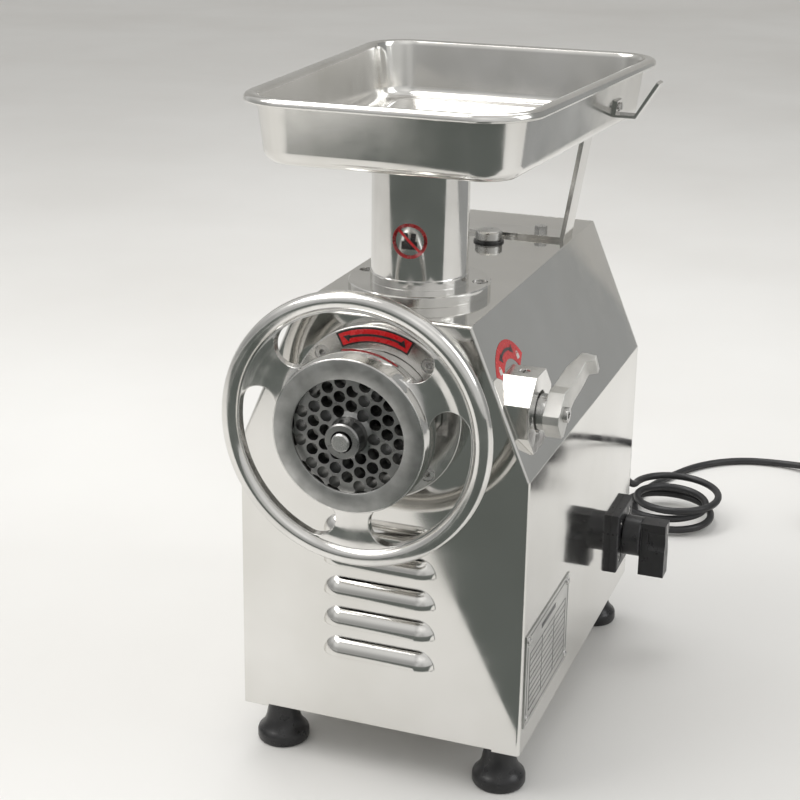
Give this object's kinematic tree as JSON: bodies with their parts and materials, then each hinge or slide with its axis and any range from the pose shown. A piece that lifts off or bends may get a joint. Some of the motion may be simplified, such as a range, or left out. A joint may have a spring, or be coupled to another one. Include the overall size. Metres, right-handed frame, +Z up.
{
  "type": "electric meat grinder",
  "caption": "Countertop meat grinder: feed tray and tube over a screw barrel with plate, knife and ring-nut handwheel, driven by a geared motor in a polished housing.",
  "frame": {"origin": "middle of the machine's bounding box (cord left out) on the plane that the feet stand on", "axes": "+Z up out of the feed tube; -Y is the outlet and handwheel side; +X is the side with the lock lever and the switch"},
  "size_m": [0.4557, 0.7928, 0.486],
  "materials": {
    "polished_stainless": "mirror polished stainless sheet",
    "machined_stainless": "turned and ground stainless",
    "cast_aluminium": "polished aluminium casting",
    "fastener_steel": "bright zinc plated steel",
    "tool_steel": "ground tool steel",
    "gear_steel": "oiled alloy steel",
    "gearbox_iron": "grey painted iron casting",
    "motor_paint": "satin machine paint",
    "lamination": "varnished laminations",
    "rubber_black": "moulded black rubber",
    "plastic_black": "satin black moulding",
    "plastic_grey": "light grey moulding",
    "nylon_white": "natural nylon",
    "label_metal": "satin anodised label plate",
    "cord_black": "black cable sheath"
  },
  "bodies": {
    "machine": {"base_plate": "machined_stainless", "bracket_bolt": "fastener_steel", "cable_gland": "plastic_black", "capacitor": "plastic_grey", "clamp_block": "cast_aluminium", "clamp_block_screws": "fastener_steel", "cord_bundle": "cord_black", "cord_coil": "cord_black", "cord_tube": "cord_black", "feed_tube": "polished_stainless", "feed_tube_bolts": "fastener_steel", "foot_back_left": "rubber_black", "foot_back_right": "rubber_black", "foot_bolts": "fastener_steel", "foot_front_left": "rubber_black", "foot_front_right": "rubber_black", "front_flange": "polished_stainless", "front_flange_screws": "fastener_steel", "gearbox_bearings": "gear_steel", "gearbox_case": "gearbox_iron", "gearbox_cover": "gearbox_iron", "gearbox_screws": "fastener_steel", "grinder_barrel": "machined_stainless", "grinder_plate": "tool_steel", "housing_shell": "polished_stainless", "mains_plug": "plastic_black", "motor_bearings": "gear_steel", "motor_cradle": "motor_paint", "motor_end_cover": "motor_paint", "motor_housing": "motor_paint", "motor_stator": "lamination", "nameplate": "label_metal", "nameplate_rivets": "label_metal", "oil_cap_washer": "machined_stainless", "plate_key": "tool_steel", "rear_panel": "polished_stainless", "rear_panel_screws": "fastener_steel", "strain_relief": "rubber_black", "switch_bezel": "plastic_black", "switch_body": "plastic_black", "switch_screws": "fastener_steel", "terminal_block": "plastic_grey", "thrust_washer": "nylon_white", "tray_bracket": "polished_stainless"},
    "feed_screw": {"auger": "machined_stainless", "knife": "tool_steel", "output_shaft": "gear_steel", "output_gear": "gear_steel"},
    "intermediate_shaft": {"intermediate_gear": "gear_steel"},
    "motor_rotor": {"motor_rotor": "lamination", "motor_fan": "plastic_grey"},
    "ring_nut": {"ring_nut_handwheel": "polished_stainless"},
    "lock_lever": {"lock_bolt": "machined_stainless", "lock_lever": "cast_aluminium", "lock_lever_screw": "fastener_steel"},
    "switch_knob": {"switch_knob": "plastic_black"},
    "oil_cap": {"oil_cap": "machined_stainless"},
    "tray": {"tray": "polished_stainless", "tray_hook": "polished_stainless", "tray_hook_rivets": "fastener_steel"}
  },
  "joints": [
    {"name": "feed_screw_spin", "type": "hinge", "parent": "machine", "child": "feed_screw", "pos_m": [-0.0137, -0.1295, 0.28], "axis": [0, 1, 0], "continuous": true},
    {"name": "intermediate_spin", "type": "hinge", "parent": "machine", "child": "intermediate_shaft", "pos_m": [-0.0137, 0.0605, 0.21375], "axis": [0, 1, 0], "continuous": true},
    {"name": "motor_spin", "type": "hinge", "parent": "machine", "child": "motor_rotor", "pos_m": [-0.0137, -0.0295, 0.15575], "axis": [0, 1, 0], "continuous": true},
    {"name": "ring_nut_turn", "type": "hinge", "parent": "machine", "child": "ring_nut", "pos_m": [-0.0137, -0.1745, 0.28], "axis": [0, -1, 0], "range_deg": [0, 1080]},
    {"name": "lock_lever_turn", "type": "hinge", "parent": "machine", "child": "lock_lever", "pos_m": [0.0863, -0.096, 0.28], "axis": [1, 0, 0], "range_deg": [0, 90]},
    {"name": "switch_turn", "type": "hinge", "parent": "machine", "child": "switch_knob", "pos_m": [0.0983, 0.1525, 0.09], "axis": [1, 0, 0], "range_deg": [-45, 45]},
    {"name": "oil_cap_turn", "type": "hinge", "parent": "machine", "child": "oil_cap", "pos_m": [-0.0097, 0.0925, 0.345], "axis": [0, 0, 1], "range_deg": [0, 1080]},
    {"name": "tray_lift", "type": "slide", "parent": "machine", "child": "tray", "axis": [0, 0, 1], "range_m": [0, 0.12]}
  ],
  "couplings": [
    {"joint": "intermediate_spin", "follows": "feed_screw_spin", "ratio": -2.5333},
    {"joint": "motor_spin", "follows": "feed_screw_spin", "ratio": 7.9619}
  ]
}
